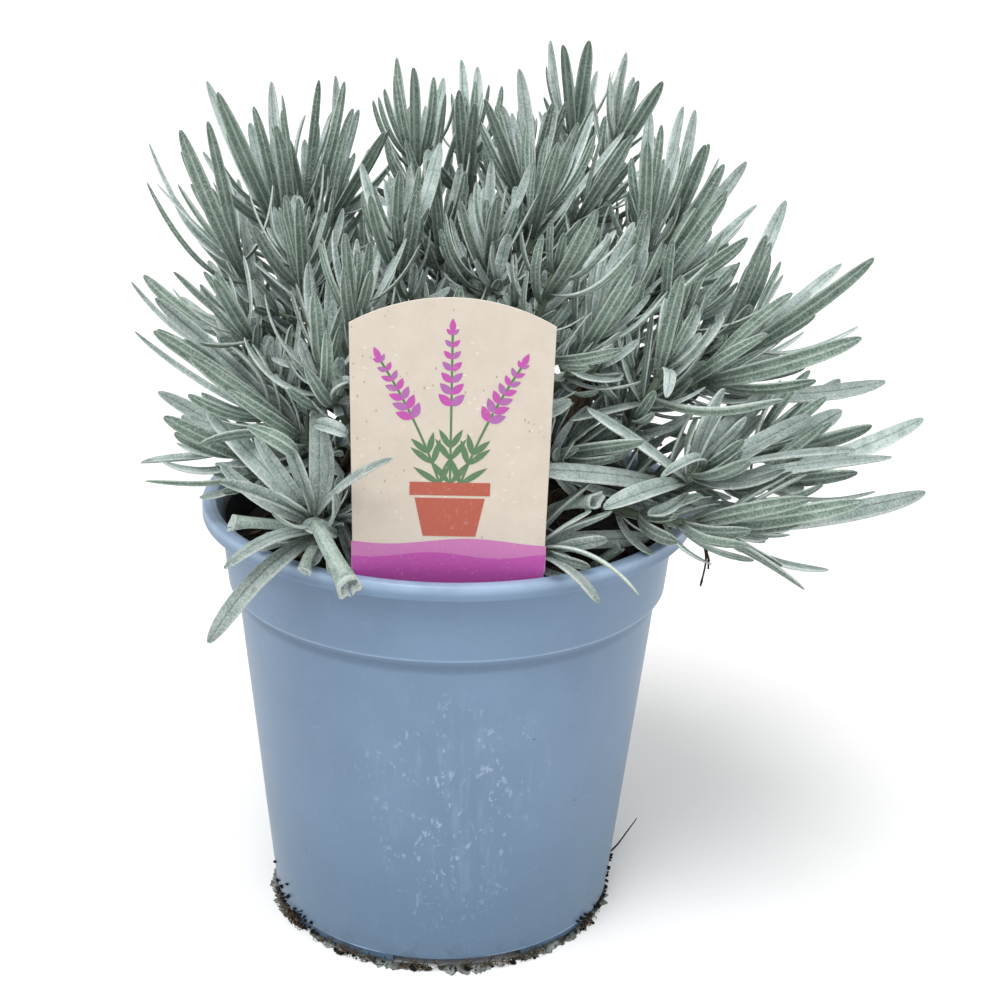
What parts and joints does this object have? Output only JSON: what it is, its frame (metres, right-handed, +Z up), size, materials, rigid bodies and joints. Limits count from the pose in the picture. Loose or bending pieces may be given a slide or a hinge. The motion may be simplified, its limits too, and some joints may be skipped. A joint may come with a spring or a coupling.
{
  "type": "potted lavender",
  "caption": "Bushy young lavender plant with silver-green narrow leaves, growing in a round plastic nursery pot with a stuck-in card plant label.",
  "frame": {"origin": "under the middle of the whole plant's bounding box, on the surface that the pot's foot stands on; the pot's own axis is at X -0.0193 m, Y -0.0094 m", "axes": "+Z up; -Y towards the side where the plant label stands in front of the foliage; +X to the right seen from that side"},
  "size_m": [0.2088, 0.1731, 0.2317],
  "materials": {
    "pot_plastic": "satin",
    "peat_soil": "matte",
    "label_card": "matte",
    "woody_bark": "matte",
    "felted_leaf": "matte"
  },
  "bodies": {
    "root": {"pot": "pot_plastic", "potting_soil": "peat_soil", "plant_label": "label_card", "woody_stem_left": "woody_bark", "woody_stem_centre": "woody_bark", "woody_stem_right": "woody_bark", "woody_stem_back": "woody_bark", "leafy_shoot_01": "felted_leaf", "leafy_shoot_02": "felted_leaf", "leafy_shoot_03": "felted_leaf", "leafy_shoot_04": "felted_leaf", "leafy_shoot_05": "felted_leaf", "leafy_shoot_06": "felted_leaf", "leafy_shoot_07": "felted_leaf", "leafy_shoot_08": "felted_leaf", "leafy_shoot_09": "felted_leaf", "leafy_shoot_10": "felted_leaf", "leafy_shoot_11": "felted_leaf", "leafy_shoot_12": "felted_leaf", "leafy_shoot_13": "felted_leaf", "leafy_shoot_14": "felted_leaf", "leafy_shoot_15": "felted_leaf", "leafy_shoot_16": "felted_leaf", "leafy_shoot_17": "felted_leaf", "leafy_shoot_18": "felted_leaf", "leafy_shoot_19": "felted_leaf", "leafy_shoot_20": "felted_leaf", "leafy_shoot_21": "felted_leaf", "leafy_shoot_22": "felted_leaf", "leafy_shoot_23": "felted_leaf", "leafy_shoot_24": "felted_leaf", "leafy_shoot_25": "felted_leaf", "leafy_shoot_26": "felted_leaf", "leafy_shoot_27": "felted_leaf", "leafy_shoot_28": "felted_leaf", "leafy_shoot_29": "felted_leaf", "leafy_shoot_30": "felted_leaf", "leafy_shoot_31": "felted_leaf", "leafy_shoot_32": "felted_leaf", "leafy_shoot_33": "felted_leaf", "leafy_shoot_34": "felted_leaf", "leafy_shoot_35": "felted_leaf", "leafy_shoot_36": "felted_leaf", "leafy_shoot_37": "felted_leaf", "leafy_shoot_38": "felted_leaf", "leafy_shoot_39": "felted_leaf", "leafy_shoot_40": "felted_leaf", "leafy_shoot_41": "felted_leaf", "leafy_shoot_42": "felted_leaf", "leafy_shoot_43": "felted_leaf", "leafy_shoot_44": "felted_leaf", "leafy_shoot_45": "felted_leaf", "leafy_shoot_46": "felted_leaf", "leafy_shoot_47": "felted_leaf", "leafy_shoot_48": "felted_leaf", "leafy_shoot_49": "felted_leaf", "leafy_shoot_50": "felted_leaf"}
  },
  "joints": []
}
